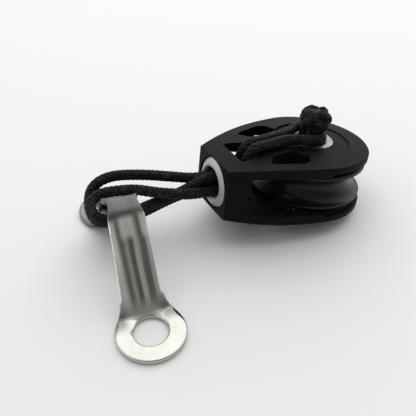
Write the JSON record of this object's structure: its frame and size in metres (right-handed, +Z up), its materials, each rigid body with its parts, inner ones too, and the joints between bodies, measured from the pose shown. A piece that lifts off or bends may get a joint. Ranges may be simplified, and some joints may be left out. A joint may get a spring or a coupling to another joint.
{
  "type": "pulley block",
  "caption": "Small single pulley block held by a braided soft shackle to a pressed metal mounting strap; its grooved wheel turns freely on a hollow hub.",
  "frame": {"origin": "midway between the two screw holes of the mounting strap, on the surface its feet stand on", "axes": "+Z up out of the strap's screw holes, +Y from one foot of the strap to the other, +X across the strap towards the pulley block"},
  "size_m": [0.0818, 0.063, 0.0291],
  "materials": {
    "moulding": "matte black glass-filled nylon",
    "black_sheave": "black hard anodised",
    "bearing_plastic": "smooth black acetal",
    "bare_aluminium": "turned and clear anodised",
    "polished_stainless": "pressed and polished",
    "braided_cord": "black braided line with a brown-grey sheen"
  },
  "bodies": {
    "block_and_strap": {"block_body": "moulding", "head_thimble": "bare_aluminium", "hub_sleeve": "bare_aluminium", "hub_collar": "bare_aluminium", "upper_washer": "bearing_plastic", "lower_washer": "bearing_plastic", "mounting_strap": "polished_stainless", "near_cord_leg": "braided_cord", "far_cord_leg": "braided_cord", "stopper_knot": "braided_cord"},
    "wheel": {"sheave": "black_sheave", "sheave_bush": "bearing_plastic"}
  },
  "joints": [
    {"name": "sheave_spin", "type": "hinge", "parent": "block_and_strap", "child": "wheel", "pos_m": [0.0562, 0.01065, 0.0109], "axis": [0.1327, 0.1191, 0.984], "continuous": true}
  ]
}
